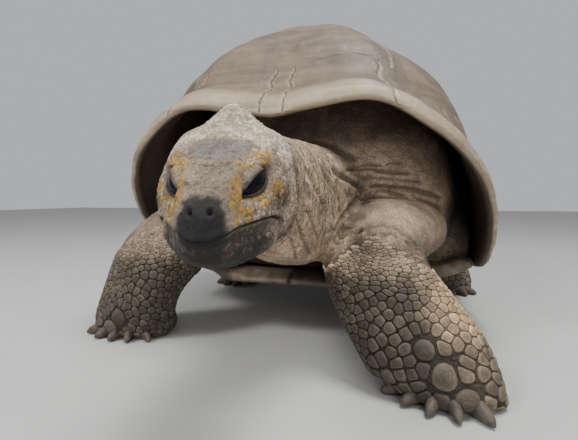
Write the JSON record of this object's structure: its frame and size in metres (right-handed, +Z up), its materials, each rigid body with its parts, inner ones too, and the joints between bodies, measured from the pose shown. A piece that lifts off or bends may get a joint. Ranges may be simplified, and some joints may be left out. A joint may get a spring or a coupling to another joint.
{
  "type": "giant tortoise",
  "caption": "Life-size still model of an old giant tortoise with a high domed shell, standing in mid-step on its four pillar-like legs with its neck stretched forward.",
  "frame": {"origin": "centre of the bounding box, on the floor under the four soles", "axes": "+Z up, the animal faces -Y, its left side is at +X"},
  "size_m": [0.9608, 1.5422, 0.8015],
  "materials": {
    "shell": "worn horn, dull with a faint sheen",
    "belly plate": "worn horn, dull",
    "skin": "dry, folded skin",
    "head skin": "dry skin with small scales",
    "leg skin": "dry skin with thick horny scales",
    "eye": "wet, glossy black"
  },
  "bodies": {
    "root": {"carapace": "shell", "plastron": "belly plate", "trunk": "skin", "neck_front": "skin", "neck_base": "skin", "tail": "skin", "head": "head skin", "lower_jaw": "head skin", "eye_left": "eye", "eye_right": "eye", "foreleg_left_upper": "leg skin", "foreleg_left_lower": "leg skin", "foreleg_left_foot": "leg skin", "foreleg_right_upper": "leg skin", "foreleg_right_lower": "leg skin", "foreleg_right_foot": "leg skin", "hindleg_left_upper": "leg skin", "hindleg_left_lower": "leg skin", "hindleg_left_foot": "leg skin", "hindleg_right_upper": "leg skin", "hindleg_right_lower": "leg skin", "hindleg_right_foot": "leg skin"}
  },
  "joints": []
}
